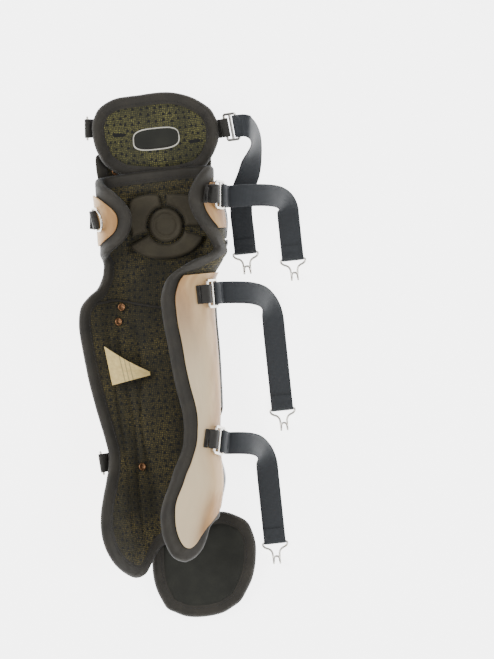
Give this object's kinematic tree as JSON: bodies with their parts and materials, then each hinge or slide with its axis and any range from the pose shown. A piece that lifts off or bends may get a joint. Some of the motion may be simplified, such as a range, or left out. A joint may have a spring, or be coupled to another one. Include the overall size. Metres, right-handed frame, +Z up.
{
  "type": "catcher leg guard",
  "caption": "Left leg guard lying on its hard shells, open padded trough upwards, with thigh flap, knee cushion, foot flap, hooked elastic straps and rings",
  "frame": {"origin": "on the ground under the knee, in the middle of the knee cap's flat front face", "axes": "+Z up, out of the open side of the guard; +Y along the leg from ankle to thigh; +X towards the inner side of the leg"},
  "size_m": [0.2635, 0.5966, 0.1027],
  "materials": {
    "shell": "glossy moulded plastic",
    "lining_mesh": "perforated knit mesh over foam",
    "binding": "woven edge binding",
    "cushion": "soft moulded foam with a brushed skin",
    "tan_cover": "smooth synthetic leather",
    "webbing": "ribbed webbing",
    "elastic": "ribbed elastic",
    "plated_metal": "plated wire",
    "rivet_metal": "worn copper-coloured",
    "label": "woven satin"
  },
  "bodies": {
    "root": {"thigh_shell": "shell", "upper_knee_shell": "shell", "knee_cap": "shell", "lower_knee_shell": "shell", "shin_shell": "shell", "ankle_cap": "shell", "foot_shell": "shell", "thigh_pad": "lining_mesh", "bridge_pad": "lining_mesh", "knee_pad": "lining_mesh", "shin_pad": "lining_mesh", "foot_pad": "lining_mesh", "thigh_binding": "binding", "bridge_binding": "binding", "liner_binding": "binding", "foot_binding": "binding", "knee_disc": "cushion", "knee_segment_lateral": "cushion", "knee_segment_medial": "cushion", "knee_segment_lower": "cushion", "knee_cover_lateral": "tan_cover", "knee_cover_medial": "tan_cover", "shin_cover_lateral": "tan_cover", "shin_cover_medial": "tan_cover", "ring_tab_thigh": "webbing", "ring_tab_knee": "webbing", "ring_tab_calf": "webbing", "ring_tab_ankle": "webbing", "d_ring_thigh": "plated_metal", "d_ring_knee": "plated_metal", "d_ring_calf": "plated_metal", "d_ring_ankle": "plated_metal", "slider_tab_thigh": "webbing", "slider_tab_knee": "webbing", "slider_tab_calf": "webbing", "slider_tab_ankle": "webbing", "slider_thigh": "plated_metal", "slider_knee": "plated_metal", "slider_calf": "plated_metal", "slider_ankle": "plated_metal", "strap_thigh": "elastic", "strap_knee": "elastic", "strap_calf": "elastic", "strap_ankle": "elastic", "hook_thigh": "plated_metal", "hook_knee": "plated_metal", "hook_calf": "plated_metal", "hook_ankle": "plated_metal", "rivet_calf_upper": "rivet_metal", "rivet_calf_lower": "rivet_metal", "rivet_ankle": "rivet_metal", "rivet_bridge": "rivet_metal", "label_flap": "label"}
  },
  "joints": []
}
